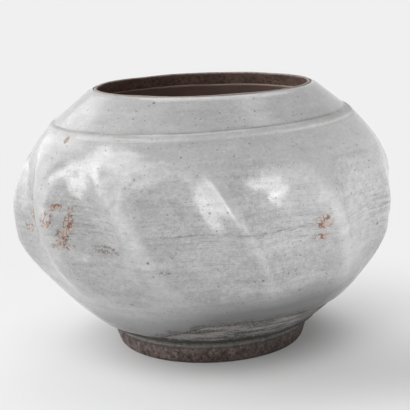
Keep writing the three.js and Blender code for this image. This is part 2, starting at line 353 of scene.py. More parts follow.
def outer_radius(angle, height, fine=True):
    """The glaze surface, with its cordon and scoops, and with its fine relief where it is asked for."""
    local = height - tilt(angle) - 0.12 * waves(angle, 0, 31, (4, 23), (0, 0))
    wall = wall_radius(height) + wall_offset(height)
    relief = CORDON_RELIEF * smoothstep(local, CORDON_LOW - 0.5, CORDON_LOW + 1.5)
    shoulder = np.where(height < JOINT_HEIGHT, wall, shoulder_radius(height)) + relief
    shoulder = shoulder + 0.05 * hill(local, CORDON_LOW + 1.5, 0.7)
    upper = smoothstep(local, CORDON_HIGH - 0.2, COLLAR_FOOT + 0.1)
    radius = shoulder * (1 - upper) + collar_radius(height) * upper
    upper_line = 0.32 * hill(local, COLLAR_FOOT + 0.1, 0.4)
    lower_line = 0.12 * hill(local, CORDON_LOW - 0.35, 0.4)
    radius = radius - upper_line - lower_line
    if fine:
        calm = smoothstep(np.abs(local - CALM_HEIGHT), 3, 7)
        lumps = 0.18 * waves(angle, height, 41, (2, 9), (0.02, 0.09))
        lumps = lumps + 0.05 * waves(angle, height, 42, (10, 40), (0.1, 0.4))
        seam = 0.12 * hill(height, SEAM_HEIGHT, 1.0)
        radius = radius + calm * (throwing_rings(angle, height) + lumps) - RELIEF_ROOM - seam
    return radius


# Turned meshes
def turned(name, angle, radius, height, closed):
    """A closed solid from arrays of angle, radius and height, one row of vertices each."""
    rows, columns = radius.shape
    turn = np.radians(angle)
    points = np.stack([radius * np.sin(turn), -radius * np.cos(turn), height], axis=-1).reshape(-1, 3)
    here = np.arange(columns)
    right = np.roll(here, -1)
    quads = []
    for row in range(rows if closed else rows - 1):
        low = row * columns
        high = ((row + 1) % rows) * columns
        quads.append(np.stack([low + here, low + right, high + right, high + here], axis=-1))
    faces = [tuple(face) for face in np.concatenate(quads).tolist()]
    if not closed:
        points = np.vstack([points, [0, 0, height[0].mean()], [0, 0, height[-1].mean()]])
        first, last = rows * columns, rows * columns + 1
        top = (rows - 1) * columns
        faces += [(first, int(right[i]), i) for i in range(columns)]
        faces += [(last, top + i, top + int(right[i])) for i in range(columns)]
    mesh = bpy.data.meshes.new(name)
    mesh.from_pydata((points * MM).tolist(), [], faces)
    mesh.polygons.foreach_set("use_smooth", [True] * len(mesh.polygons))
    mesh.update()
    piece = bpy.data.objects.new(name, mesh)
    bpy.context.scene.collection.objects.link(piece)
    return piece


def give(piece, name, values):
    """Stores one number for each vertex of the first rows, and 0 for the rest, for the material."""
    flat = np.zeros(len(piece.data.vertices), dtype=np.float32)
    flat[:values.size] = values.reshape(-1)
    layer = piece.data.attributes.new(name, "FLOAT", "POINT")
    layer.data.foreach_set("value", flat)


def rows_at(levels):
    """Angle and height arrays for level rows."""
    height = np.repeat(np.asarray(levels, dtype=float)[:, None], len(ACROSS), axis=1)
    return column_angle(height), height


def glaze_levels(counts):
    """Shares of the way from the glaze's edge to the foot of the slants, and the heights above it."""
    low = np.linspace(0, 1, counts[0], endpoint=False)
    wall = np.linspace(SLANT_FOOT, CORDON_ROWS_LOW, counts[1], endpoint=False)
    cordon = np.linspace(CORDON_ROWS_LOW, CORDON_ROWS_HIGH, counts[2], endpoint=False)
    collar_part = np.linspace(CORDON_ROWS_HIGH, GLAZE_TOP, counts[3])
    return low, np.concatenate([wall, cordon, collar_part])


def glaze_rows(counts):
    """Angle and height arrays of the glaze's rows, which follow its edge and the cordon."""
    low, levels = glaze_levels(counts)
    angle, height = rows_at(levels)
    from_below = smoothstep(height, 120, CORDON_ROWS_LOW)
    from_above = 1 - smoothstep(height, CORDON_ROWS_HIGH, GLAZE_TOP)
    height = height + from_below * from_above * tilt(angle)
    angle = column_angle(height)
    foot_angle = column_angle(np.full((1, len(ACROSS)), float(SLANT_FOOT)))
    edge = glaze_edge(foot_angle)
    foot_height = edge + low[:, None] * (SLANT_FOOT - edge)
    angle = np.vstack([np.repeat(foot_angle, len(low), axis=0), angle])
    return angle, np.vstack([foot_height, height]), edge


def quarter_round(distance, reach):
    """How far an edge is rounded off, from 1 at the edge to 0 at the reach."""
    share = np.clip(1 - distance / reach, 0, 1)
    return 1 - np.sqrt(1 - share * share)


def outer_glaze():
    angle, height, edge = glaze_rows(FINE_ROWS)
    radius = outer_radius(angle, height)
    rolled = quarter_round(height - edge, 2.2) + quarter_round(GLAZE_TOP - height, 1.2)
    radius = radius - 0.95 * GLAZE * rolled * stretch(wall_radius, np.minimum(height, JOINT_HEIGHT))
    back_angle, back_height, _ = glaze_rows(COARSE_ROWS)
    wall_slant = stretch(wall_radius, back_height)
    slant = np.where(back_height < 150, wall_slant, stretch(collar_radius, back_height))
    back = outer_radius(back_angle, back_height, False) - GLAZE * slant - RELIEF_ROOM
    piece = turned(
        "glaze_outside",
        np.vstack([angle, back_angle[::-1]]),
        np.vstack([radius, back[::-1]]),
        np.vstack([height, back_height[::-1]]),
        True,
    )
    local = height - tilt(angle)
    worn_cordon = 0.75 * hill(local, CORDON_MIDDLE, 2.2) * (1 - 0.8 * hill(angle, -28, 9))
    wrapped = turned_round(angle)
    marks = {
        "streaked_and_shaded": worn(angle, height, STREAKED_AND_SHADED),
        "pitted": worn(angle, height, PITTED),
        "rusted": worn(angle, height, RUSTED),
        "dulled": np.maximum(worn(angle, height, DULLED), worn_cordon),
        "iron": worn(angle, height, IRON_SPOTS),
        "seam": worn(angle, np.full_like(height, BELLY_HEIGHT), SEAM_PARTS),
        "above_edge": np.clip((height - edge) / 30, 0, 1),
        "thin": 0.35 + 0.5 * smoothstep(wrapped, -10, 20) * (1 - smoothstep(wrapped, 75, 120)),
        "hollow": scoop_strength(height) * HOLLOW,
        "cordon": hill(local, COLLAR_FOOT + 0.1, 0.7),
        "fillet": hill(local, CORDON_LOW + 1.5, 0.9),
    }
    for name, values in marks.items():
        give(piece, name, values)
    return piece


# Inner profile of the clay
INNER_BELLY = BELLY_RADIUS - CLAY_DEPTH - WALL
JOINT_STRETCH = float(stretch(shoulder_radius, JOINT_HEIGHT))
JOINT_OUTER = float(shoulder_radius(JOINT_HEIGHT)) - CLAY_DEPTH * JOINT_STRETCH
JOINT_INNER = JOINT_OUTER - WALL * JOINT_STRETCH
LIP_INNER = RIM_RADIUS - 3.6
LIP_CROWN = 0.5
INNER_RISE = (JOINT_HEIGHT - BELLY_HEIGHT) / math.sqrt(1 - (JOINT_INNER / INNER_BELLY) ** 2)
COLLAR_SLOPE = float(stretch(collar_radius, COLLAR_MIDDLE))


def inner_profile():
    """Points of the clay's inner side, from the lip down to the floor, before the scoops."""
    share = np.linspace(0, 1, 16, endpoint=False)
    collar = np.stack([
        LIP_INNER + (JOINT_INNER - LIP_INNER) * share,
        RIM_HEIGHT - LIP_CROWN - (RIM_HEIGHT - LIP_CROWN - JOINT_HEIGHT) * share,
    ], axis=-1)
    level = np.linspace(JOINT_HEIGHT, BELLY_HEIGHT, 24, endpoint=False)
    shoulder = np.stack([
        INNER_BELLY * np.sqrt(1 - ((level - BELLY_HEIGHT) / INNER_RISE) ** 2),
        level,
    ], axis=-1)
    share = np.linspace(0, 1, 36)[:, None]
    start = np.array([INNER_BELLY, BELLY_HEIGHT])
    bend = np.array([105.0, 39.5])
    end = np.array([52, 23.5])
    bowl = (1 - share) ** 2 * start + 2 * share * (1 - share) * bend + share ** 2 * end
    share = np.linspace(0, 1, 10)[1:-1, None]
    floor = end + share * (np.array([4, 22.05]) - end)
    return collar, shoulder, bowl, floor


def moved_in(points, distance):
    """A profile moved square to itself, into the hollow."""
    along = np.gradient(points, axis=0)
    along /= np.linalg.norm(along, axis=1, keepdims=True)
    return points + distance * np.stack([along[:, 1], -along[:, 0]], axis=-1)


def profile_rows(points, pressed=True):
    """Angle, radius and height arrays for the points of a profile."""
    angle, height = rows_at(points[:, 1])
    radius = np.repeat(points[:, :1], len(ACROSS), axis=1)
    if pressed:
        radius = radius + PRESSED_THROUGH * wall_offset(height)
    return angle, radius, height


def stacked(*parts):
    """Parts of a profile, each with angle, radius and height arrays, as one."""
    return [np.vstack(arrays) for arrays in zip(*parts)]


def outside_rows(levels, depth):
    """Rows on the clay's outside, at a depth under the glaze surface."""
    angle, height = rows_at(levels)
    radius_at = wall_radius if max(levels) <= JOINT_HEIGHT else collar_radius
    radius = outer_radius(angle, height, False) - RELIEF_ROOM - depth * stretch(radius_at, height)
    return angle, radius, height


def lower_bowl():
    _, _, bowl, floor = inner_profile()
    base = np.linspace(4, FOOT_RADIUS - 3, 12)
    under = profile_rows(np.stack([base, np.full(12, FOOT_HEIGHT + SEAT_GAP)], axis=-1), False)
    cove = [[FOOT_RADIUS - 2.4, 14.06], [65.2, 14.9], [68.2, 15.9], [71.0, 17.0]]
    cove = profile_rows(np.array(cove), False)
    levels = np.concatenate([np.linspace(WALL_FOOT + 0.6, 40, 44), np.linspace(42, BELLY_HEIGHT, 20)])
    angle, radius, height = outside_rows(levels, CLAY_DEPTH)
    rough = 0.10 * waves(angle, height, 51, (20, 90), (0.4, 1.6)) + 0.12 * np.sin(height * 2.1)
    wall = (angle, radius + rough * (1 - smoothstep(height, 36, 42)), height)
    parts = stacked(under, cove, wall, profile_rows(bowl), profile_rows(floor, False))
    return turned("lower_clay", *parts, False)


def upper_bowl():
    _, shoulder, bowl, _ = inner_profile()
    levels = np.linspace(BELLY_HEIGHT, JOINT_HEIGHT, 24)
    inside = np.vstack([shoulder, bowl[:1]])
    return turned("upper_clay", *stacked(outside_rows(levels, CLAY_DEPTH), profile_rows(inside)), True)


def shoulder_cordon():
    seat = (JOINT_INNER + JOINT_OUTER) / 2
    angle, height = rows_at(np.linspace(CORDON_LOW - 0.6, COLLAR_FOOT - 0.3, 12))
    height = height + tilt(angle)
    slant = stretch(shoulder_radius, height)
    radius = outer_radius(angle, height, False) - RELIEF_ROOM - CLAY_DEPTH * slant
    top_angle, top_height = rows_at([COLLAR_FOOT])
    top_height = top_height + tilt(top_angle)
    top = collar_radius(top_height) - CLAY_DEPTH * COLLAR_SLOPE + 0.45
    foot = profile_rows(np.array([[seat + 0.45, JOINT_HEIGHT + SEAT_GAP]]), False)
    under = outside_rows([JOINT_HEIGHT + SEAT_GAP], CLAY_DEPTH)
    parts = stacked(foot, under, (angle, radius, height), (top_angle, top, top_height))
    return turned("cordon_clay", *parts, True)


def collar():
    lip = RIM_RADIUS - CLAY_DEPTH * COLLAR_SLOPE
    share = np.linspace(0, 1, 22, endpoint=False)[:, None]
    angle, height = rows_at(np.zeros(22))
    foot = COLLAR_FOOT + tilt(angle)
    height = foot + share * (RIM_HEIGHT - 1.0 - foot)
    radius = collar_radius(height) - CLAY_DEPTH * COLLAR_SLOPE
    turn = np.linspace(0, math.pi, 12)
    middle = (lip + LIP_INNER + 0.9) / 2
    half = (lip + 0.9 - LIP_INNER) / 2
    crown = np.stack([middle + half * np.cos(turn), RIM_HEIGHT - 1.0 + 0.95 * np.sin(turn)], axis=-1)
    inside, _, _, _ = inner_profile()
    inside = np.vstack([inside[1:], [[JOINT_INNER, JOINT_HEIGHT + SEAT_GAP]]])
    seat = np.array([[(JOINT_INNER + JOINT_OUTER) / 2, JOINT_HEIGHT + SEAT_GAP]])
    angle, radius, height = stacked(
        (angle, radius, height),
        profile_rows(crown, False),
        profile_rows(inside, False),
        profile_rows(seat, False),
    )
    near = smoothstep(height, 158, 164)
    radius = radius + near * (0.10 * waves(angle, height, 61, (12, 50), (0.3, 1.2)))
    uneven = 0.12 * (waves(angle, 0, 62, (3, 14), (0, 0)) - 1.6)
    height = height + near * uneven * smoothstep(height, 168, 171)
    piece = turned("collar_clay", angle, radius, height, True)
    give(piece, "lip", smoothstep(height, 169.0, 170.0) * smoothstep(radius, middle - 1.2, middle))
    return piece


def inner_glaze():
    collar_part, shoulder, bowl, floor = inner_profile()
    top = (LINING_TOP - JOINT_HEIGHT) / (RIM_HEIGHT - LIP_CROWN - JOINT_HEIGHT)
    first = [[JOINT_INNER + (LIP_INNER - JOINT_INNER) * top, LINING_TOP]]
    lining = np.vstack([first, collar_part[collar_part[:, 1] < LINING_TOP], shoulder, bowl, floor])
    under = moved_in(lining, GLAZE_GAP)
    over = moved_in(lining, GLAZE_GAP + GLAZE)
    over[0] = moved_in(lining, GLAZE_GAP + 0.5)[0]
    angle, radius, height = stacked(profile_rows(under[::-1]), profile_rows(over))
    wavy = 0.15 * waves(angle, 0, 71, (3, 16), (0, 0)) * smoothstep(height, 155, LINING_TOP)
    height_now = height + wavy - 0.6 * smoothstep(height, 160, LINING_TOP)
    piece = turned("glaze_inside", angle, radius - wavy, height_now, False)
    give(piece, "edge", smoothstep(height, LINING_TOP - 0.9, LINING_TOP - 0.1))
    return piece


def foot_ring():
    inner = FOOT_RADIUS - FOOT_WIDTH
    edge = 1.6
    top = FOOT_HEIGHT - 0.05
    row_gap = 0.55
    corners = np.array([
        [inner + edge, 0.0], [FOOT_RADIUS - FOOT_TAPER - edge, 0.0], [FOOT_RADIUS - FOOT_TAPER, edge],
        [FOOT_RADIUS - 0.1, FOOT_SWELL_HEIGHT], [FOOT_RADIUS - 0.5, FOOT_HEIGHT - 2.0],
        [FOOT_RADIUS - 2.3, top], [inner + 0.1, top], [inner + 0.05, edge],
    ])
    points = []
    for start, end in zip(corners, np.roll(corners, -1, axis=0)):
        count = max(2, int(np.linalg.norm(end - start) / row_gap))
        points.append(start + np.linspace(0, 1, count, endpoint=False)[:, None] * (end - start))
    points = np.vstack(points)
    for _ in range(2):
        points = (np.roll(points, 1, axis=0) + 2 * points + np.roll(points, -1, axis=0)) / 4
    angle, radius, height = profile_rows(points, False)
    outside = smoothstep(radius, inner + 5, inner + 8) * smoothstep(height, 0.1, 1.5)
    rough = 0.11 * waves(angle, height, 81, (30, 110), (0.05, 0.3), 9)
    rough = rough + 0.06 * waves(angle, height, 82, (60, 160), (0.8, 2.5), 9)
    radius = radius - outside * (0.22 - rough)
    piece = turned("foot_clay_ring", angle, radius, height, True)
    outer = smoothstep(radius, inner + 5, inner + 8)
    give(piece, "bevel", smoothstep(height, FOOT_HEIGHT - 2.5, FOOT_HEIGHT - 1.7) * outer)
    # Masks for painted shade: a dark line under the bevel, and the ring's bottom edge.
    give(piece, "groove_shade", hill(height, FOOT_HEIGHT - 3.2, 0.8) * outer)
    give(piece, "bottom_shade", (1 - smoothstep(height, 0.6, 2.2)) * outer)
    return piece


# Materials
class Nodes:
    """The node tree of a material or the world, with short calls for the nodes that repeat."""

    def __init__(self, owner):
        owner.use_nodes = True
        self.owner = owner
        self.tree = owner.node_tree
        self.tree.nodes.clear()
        self.coordinates = None

    @property
    def place(self):
        """Each point's place on the object, in metres."""
        if self.coordinates is None:
            self.coordinates = self.add("ShaderNodeTexCoord").outputs["Object"]
        return self.coordinates

    def height(self):
        return self.add("ShaderNodeSeparateXYZ", None, Vector=self.place).outputs["Z"]

    def add(self, kind, settings=None, **inputs):
        node = self.tree.nodes.new(kind)
        for key, value in (settings or {}).items():
            setattr(node, key, value)
        for key, value in inputs.items():
            self.put(node.inputs[key.replace("_", " ")], value)
        return node

    def put(self, socket, value):
        if isinstance(value, bpy.types.NodeSocket):
            self.tree.links.new(value, socket)
        else:
            socket.default_value = value

    def math(self, operation, first, second=0.0, clamp=False):
        node = self.add("ShaderNodeMath", {"operation": operation, "use_clamp": clamp})
        self.put(node.inputs[0], first)
        self.put(node.inputs[1], second)
        return node.outputs[0]

    def times(self, first, second):
        return self.math("MULTIPLY", first, second)

    def plus(self, first, second):
        return self.math("ADD", first, second)

    def minus(self, first, second):
        return self.math("SUBTRACT", first, second)

    def ramp(self, value, low, high, start=0.0, end=1.0):
        """A smooth change from start at low to end at high."""
        settings = {"interpolation_type": "SMOOTHSTEP", "clamp": True}
        node = self.add("ShaderNodeMapRange", settings, Value=value)
        node.inputs["From Min"].default_value = low
        node.inputs["From Max"].default_value = high
        node.inputs["To Min"].default_value = start
        node.inputs["To Max"].default_value = end
        return node.outputs[0]

    def scaled(self, factors):
        node = self.add("ShaderNodeVectorMath", {"operation": "MULTIPLY"})
        self.put(node.inputs[0], self.place)
        node.inputs[1].default_value = factors
        return node.outputs[0]

    def noise(self, factors, detail, roughness, shift):
        """Noise stretched by three factors per metre. A shift gives another piece of it."""
        moved = self.add("ShaderNodeVectorMath", {"operation": "ADD"})
        self.put(moved.inputs[0], self.scaled(factors))
        moved.inputs[1].default_value = (shift, shift * 1.7, shift * 0.6)
        node = self.add("ShaderNodeTexNoise", None, Vector=moved.outputs[0], Scale=1.0, Detail=detail,
                        Roughness=roughness)
        return node.outputs[0]

    def cells(self, scale):
        """Distance to the middle of each cell, and three random numbers for it."""
        node = self.add("ShaderNodeTexVoronoi", None, Vector=self.place, Scale=scale)
        chances = self.add("ShaderNodeSeparateColor", None, Color=node.outputs["Color"])
        return node.outputs["Distance"], chances.outputs

    def swing(self, noise, size):
        """A noise moved to lie around 0, and scaled."""
        return self.times(self.minus(noise, 0.5), size)

    def edges(self, scale, bend):
        """Distance to the edges of cells whose outlines are bent by noise."""
        noise = self.add("ShaderNodeTexNoise", None, Vector=self.place, Scale=180.0, Detail=2.0)
        moved = self.add("ShaderNodeVectorMath", {"operation": "MULTIPLY_ADD"})
        self.put(moved.inputs[0], noise.outputs["Color"])
        moved.inputs[1].default_value = (bend, bend, bend)
        self.put(moved.inputs[2], self.place)
        node = self.add("ShaderNodeTexVoronoi", {"feature": "DISTANCE_TO_EDGE"}, Vector=moved.outputs[0],
                        Scale=scale)
        return node.outputs["Distance"]

    def value(self, name):
        return self.add("ShaderNodeAttribute", {"attribute_name": name}).outputs["Fac"]

    def mix(self, factor, first, second):
        node = self.add("ShaderNodeMix", {"data_type": "RGBA"})
        self.put(node.inputs[0], factor)
        self.put(node.inputs[6], first)
        self.put(node.inputs[7], second)
        return node.outputs[2]

    def choose(self, factor, first, second):
        """The first shader where the factor is 0, and the second where it is 1."""
        node = self.add("ShaderNodeMixShader")
        self.put(node.inputs[0], factor)
        self.put(node.inputs[1], first)
        self.put(node.inputs[2], second)
        return node.outputs[0]

    def bump(self, height, distance, strength):
        node = self.add("ShaderNodeBump", None, Height=height, Distance=distance, Strength=strength)
        return node.outputs[0]

    def surface(self, color, roughness, normal, ior):
        shader = self.add("ShaderNodeBsdfPrincipled", None, Base_Color=color, Roughness=roughness,
                          Normal=normal, IOR=ior)
        self.add("ShaderNodeOutputMaterial", None, Surface=shader.outputs[0])
        return self.owner


def material_nodes(name):
    return Nodes(bpy.data.materials.new(name))


def tone(red, green, blue):
    """A colour written as screen values from 0 to 255."""
    def linear(value):
        value = value / 255
        return value / 12.92 if value <= 0.04045 else ((value + 0.055) / 1.055) ** 2.4
    return (linear(red), linear(green), linear(blue), 1.0)


def glaze_tones(n, blotch, streak, thin_streak, mottle, speck):
    """The glaze's grey, mottled at several scales, with painted light on the creases, which are made
    paler.
    """
    cloud = n.noise((11, 11, 20), 3, 0.6, 3.1)
    base = n.mix(n.ramp(cloud, 0.35, 0.65), tone(163, 163, 163), tone(177, 177, 177))
    base = n.mix(n.ramp(blotch, 0.5, 0.7, 0, 0.4), base, tone(148, 148, 148))
    base = n.mix(n.ramp(blotch, 0.5, 0.3, 0, 0.3), base, tone(200, 200, 200))
    base = n.mix(n.ramp(streak, 0.5, 0.66, 0, 0.3), base, tone(146, 146, 146))
    base = n.mix(n.ramp(streak, 0.5, 0.34, 0, 0.2), base, tone(200, 200, 200))
    base = n.mix(n.ramp(thin_streak, 0.54, 0.7, 0, 0.3), base, tone(136, 136, 136))
    base = n.mix(n.ramp(mottle, 0.5, 0.68, 0, 0.42), base, tone(138, 138, 138))
    base = n.mix(n.ramp(mottle, 0.44, 0.3, 0, 0.35), base, tone(206, 206, 206))
    base = n.mix(n.ramp(speck, 0.58, 0.72, 0, 0.55), base, tone(100, 99, 98))
    # Painted light: the glaze is made paler along the crests between the scoops.
    return n.mix(n.ramp(n.value("hollow"), 0.0, 0.2, 0.24, 0.0), base, tone(206, 206, 206))


def worn_lines(n, base):
    """Thin dark lines where the surface is worn, darker patches in the streaked places, which inside the
    left scoop are painted shade, and the line over the seam.
    """
    wander = n.noise((8, 8, 380), 3, 0.6, 2.9)
    line = n.ramp(n.math("ABSOLUTE", n.minus(wander, 0.5)), 0.0, 0.045, 1.0, 0.0)
    broken = n.ramp(n.noise((160, 160, 420), 3, 0.65, 4.8), 0.46, 0.6)
    worn_line = n.times(n.times(line, broken), n.ramp(n.value("streaked_and_shaded"), 0.0, 0.8))
    base = n.mix(n.times(worn_line, 0.55), base, tone(98, 97, 96))
    # Darker patches in the streaked places; inside the left scoop they are painted shade.
    shade = n.ramp(n.noise((20, 20, 300), 3, 0.6, 9.9), 0.5, 0.66)
    shade = n.times(shade, n.ramp(n.value("streaked_and_shaded"), 0.1, 0.9))
    base = n.mix(n.times(shade, 0.4), base, tone(138, 138, 138))
    waver = n.swing(n.noise((45, 45, 45), 2, 0.5, 8.1), 0.0035)
    off_seam = n.math("ABSOLUTE", n.minus(n.plus(n.height(), waver), SEAM_HEIGHT * MM))
    seam = n.times(n.ramp(off_seam, 0.0002, 0.0009, 1.0, 0.0), n.value("seam"))
    seam = n.times(seam, n.ramp(n.noise((190, 190, 300), 3, 0.65, 6.1), 0.4, 0.58, 0.1, 1.0))
    base = n.mix(n.times(seam, 0.62), base, tone(92, 91, 90))
    return base, n.plus(worn_line, seam)


def cordon_lines(n, base):
    """The dark line in the groove over the cordon, a brownish tint with painted shade, and the cordon's
    paler edge, thinner glaze with a painted highlight.
    """
    patchy = n.ramp(n.noise((60, 60, 60), 3, 0.6, 3.9), 0.35, 0.6, 0.1, 0.6)
    # Painted shade with a brownish tint, in the groove over the cordon.
    base = n.mix(n.times(n.value("cordon"), patchy), base, tone(124, 118, 115))
    # Paler lower edge of the cordon: thinner glaze, and a painted highlight.
    return n.mix(n.times(n.value("fillet"), 0.1), base, tone(206, 205, 204))


def pits(n, base, speck):
    """Pits, pinholes, and crumbly places. Returns the colour and how deep the pits are."""
    ragged = n.swing(n.noise((700, 700, 1100), 2, 0.6, 0.7), 0.35)
    pit, sizes = n.cells(170)
    likely = n.plus(n.times(n.value("pitted"), 0.5), 0.1)
    picked = n.ramp(n.minus(likely, sizes[0]), 0.0, 0.01)
    reach = n.ramp(sizes[1], 0.0, 1.0, 0.05, 0.16)
    large_pit = n.times(n.ramp(n.minus(n.plus(pit, ragged), reach), -0.04, 0.02, 1.0, 0.0), picked)
    hole, lots = n.cells(430)
    likely = n.plus(n.times(n.value("pitted"), 0.4), 0.13)
    holed = n.ramp(n.minus(likely, lots[0]), 0.0, 0.01)
    hole_edge = n.plus(n.plus(hole, ragged), n.times(lots[1], 0.12))
    pinhole = n.times(n.ramp(hole_edge, 0.14, 0.34, 1.0, 0.0), holed)
    pinhole = n.times(pinhole, n.ramp(lots[2], 0.0, 1.0, 0.35, 0.95))
    dark_pit = n.math("MAXIMUM", large_pit, pinhole)
    pit_tone = n.mix(sizes[2], tone(62, 60, 58), tone(112, 106, 102))
    base = n.mix(n.times(dark_pit, 0.8), base, pit_tone)
    crumb = n.ramp(n.noise((480, 480, 620), 3, 0.7, 6.9), 0.45, 0.55)
    crumb = n.times(crumb, n.ramp(n.value("pitted"), 0.5, 0.85))
    crumb_tone = n.mix(n.ramp(speck, 0.4, 0.6), tone(122, 104, 96), tone(84, 82, 80))
    return n.mix(n.times(crumb, 0.8), base, crumb_tone), dark_pit


def rust(n, base, mottle, speck):
    """Thin dark iron lines in irregular loops, a patchy stain beside them, and single spots."""
    outline = n.ramp(n.edges(185, 0.013), 0.045, 0.11, 1.0, 0.0)
    outline = n.times(outline, n.ramp(n.noise((300, 300, 300), 3, 0.6, 7.4), 0.4, 0.52, 0.2, 1.0))
    outline = n.times(outline, n.ramp(n.value("rusted"), 0.25, 0.6))
    stain = n.ramp(n.noise((230, 230, 210), 4, 0.7, 3.7), 0.44, 0.6)
    stain = n.times(stain, n.ramp(n.value("rusted"), 0.3, 0.85))
    stain_tone = n.mix(n.ramp(mottle, 0.4, 0.6), tone(198, 164, 140), tone(166, 126, 104))
    base = n.mix(n.times(stain, 0.75), base, stain_tone)
    line_tone = n.mix(n.ramp(speck, 0.4, 0.6), tone(128, 90, 74), tone(88, 62, 54))
    base = n.mix(n.times(outline, 0.9), base, line_tone)
    spot = n.ramp(n.plus(n.value("iron"), n.swing(mottle, 0.6)), 0.3, 0.55)
    spot_tone = n.mix(n.ramp(speck, 0.4, 0.62), tone(152, 112, 86), tone(98, 70, 56))
    return n.mix(n.times(spot, 0.8), base, spot_tone)


def thinning_edge(n, base, blotch, streak, thin_streak, mottle):
    """The glaze darkens towards its lower edge, partly where it thins and partly as painted shade on the
    underside of the belly, and ends in a dark line.
    """
    near = n.value("above_edge")
    thin = n.value("thin")
    # Darker over the last 30 mm above the glaze's edge, more on the right where the glaze is thinner:
    # partly thinner glaze, partly painted shade.
    thinned_and_shaded = n.times(n.ramp(near, 0.1, 1.0, 1.0, 0.0), n.plus(n.times(thin, 0.8), 0.6))
    base = n.mix(thinned_and_shaded, base, tone(114, 114, 114))
    low = n.ramp(n.plus(near, n.swing(streak, 0.55)), 0.0, 0.36, 1.0, 0.0)
    low_tone = n.mix(n.ramp(thin_streak, 0.4, 0.6), tone(112, 112, 110), tone(88, 86, 84))
    base = n.mix(n.times(low, thin), base, low_tone)
    ragged_edge = n.minus(0.72, n.times(thin, 0.65))
    edge_place = n.plus(near, n.swing(blotch, ragged_edge))
    fringe = n.times(n.ramp(edge_place, 0.03, 0.15, 1.0, 0.0), 0.85)
    fringe_tone = n.mix(n.ramp(mottle, 0.42, 0.58), tone(98, 91, 87), tone(66, 61, 58))
    return n.mix(fringe, base, fringe_tone)


def pale_glaze():
    n = material_nodes("pale_glaze")
    blotch = n.noise((110, 110, 170), 3, 0.6, 6.4)
    streak = n.noise((14, 14, 170), 4, 0.62, 7.7)
    thin_streak = n.noise((30, 30, 620), 3, 0.6, 1.3)
    mottle = n.noise((400, 400, 500), 3, 0.65, 5.2)
    speck = n.noise((1250, 1250, 1250), 2, 0.6, 9.4)
    base = glaze_tones(n, blotch, streak, thin_streak, mottle, speck)
    base, lines = worn_lines(n, base)
    base = cordon_lines(n, base)
    base, dark_pit = pits(n, base, speck)
    base = rust(n, base, mottle, speck)
    base = thinning_edge(n, base, blotch, streak, thin_streak, mottle)
    relief = n.plus(n.times(mottle, 1.2), n.times(speck, 0.5))
    relief = n.plus(relief, n.times(blotch, 0.8))
    relief = n.minus(relief, n.times(dark_pit, 1.5))
    relief = n.minus(relief, n.times(lines, 0.7))
    gloss = n.plus(n.ramp(mottle, 0.35, 0.7, 0.05, 0.14), n.times(n.value("dulled"), 0.6))
    return n.surface(base, gloss, n.bump(relief, 0.00012, 0.5), 1.6)


def inner_glaze_material():
    n = material_nodes("inner_glaze")
    cloud = n.noise((12, 12, 40), 3, 0.6, 2.2)
    ring = n.noise((8, 8, 260), 4, 0.6, 4.4)
    speck = n.noise((900, 900, 900), 2, 0.6, 6.6)
    base = n.mix(n.ramp(cloud, 0.35, 0.65), tone(150, 128, 121), tone(168, 146, 138))
    base = n.mix(n.ramp(ring, 0.5, 0.7, 0, 0.5), base, tone(112, 92, 86))
    base = n.mix(n.ramp(speck, 0.58, 0.75, 0, 0.5), base, tone(78, 62, 56))
    base = n.mix(n.times(n.value("edge"), 0.6), base, tone(206, 190, 180))
    normal = n.bump(n.plus(n.times(speck, 0.5), ring), 0.00015, 0.5)
    return n.surface(base, n.ramp(speck, 0.3, 0.7, 0.38, 0.55), normal, 1.5)


def lip_clay_material():
    n = material_nodes("lip_clay")
    cloud = n.noise((50, 50, 40), 4, 0.6, 4.1)
    patch = n.noise((420, 420, 420), 4, 0.68, 2.3)
    grain = n.noise((1300, 1300, 1300), 3, 0.65, 8.2)
    base = n.mix(n.ramp(cloud, 0.35, 0.65), tone(136, 111, 102), tone(164, 138, 126))
    base = n.mix(n.ramp(patch, 0.5, 0.62, 0, 0.8), base, tone(74, 58, 52))
    base = n.mix(n.ramp(patch, 0.44, 0.34, 0, 0.4), base, tone(186, 162, 150))
    base = n.mix(n.ramp(grain, 0.54, 0.7, 0, 0.6), base, tone(62, 50, 46))
    base = n.mix(n.times(n.value("lip"), 0.75), base, tone(150, 144, 140))
    normal = n.bump(n.plus(grain, patch), 0.0003, 0.7)
    return n.surface(base, n.ramp(grain, 0.3, 0.7, 0.45, 0.7), normal, 1.5)


def bare_clay_material():
    n = material_nodes("bare_clay")
    cloud = n.noise((22, 22, 70), 4, 0.6, 1.1)
    streak = n.noise((26, 26, 620), 4, 0.62, 8.8)
    patch = n.noise((90, 90, 160), 3, 0.6, 5.7)
    grain = n.noise((900, 900, 900), 3, 0.65, 3.3)
    base = n.mix(n.ramp(cloud, 0.42, 0.58), tone(80, 77, 75), tone(142, 141, 139))
    base = n.mix(n.ramp(patch, 0.52, 0.66, 0, 0.6), base, tone(104, 80, 70))
    base = n.mix(n.ramp(patch, 0.46, 0.34, 0, 0.7), base, tone(166, 166, 162))
    base = n.mix(n.ramp(streak, 0.48, 0.57, 0, 0.9), base, tone(50, 46, 44))
    base = n.mix(n.ramp(grain, 0.52, 0.62, 0, 0.7), base, tone(176, 174, 169))
    # Painted shade: the clay darkens below 20 mm, in the cove over the foot ring.
    base = n.mix(n.ramp(n.height(), 0.0202, 0.0184, 0, 0.9), base, tone(44, 37, 35))
    normal = n.bump(n.plus(grain, streak), 0.0003, 0.7)
    return n.surface(base, n.ramp(grain, 0.3, 0.7, 0.5, 0.75), normal, 1.5)


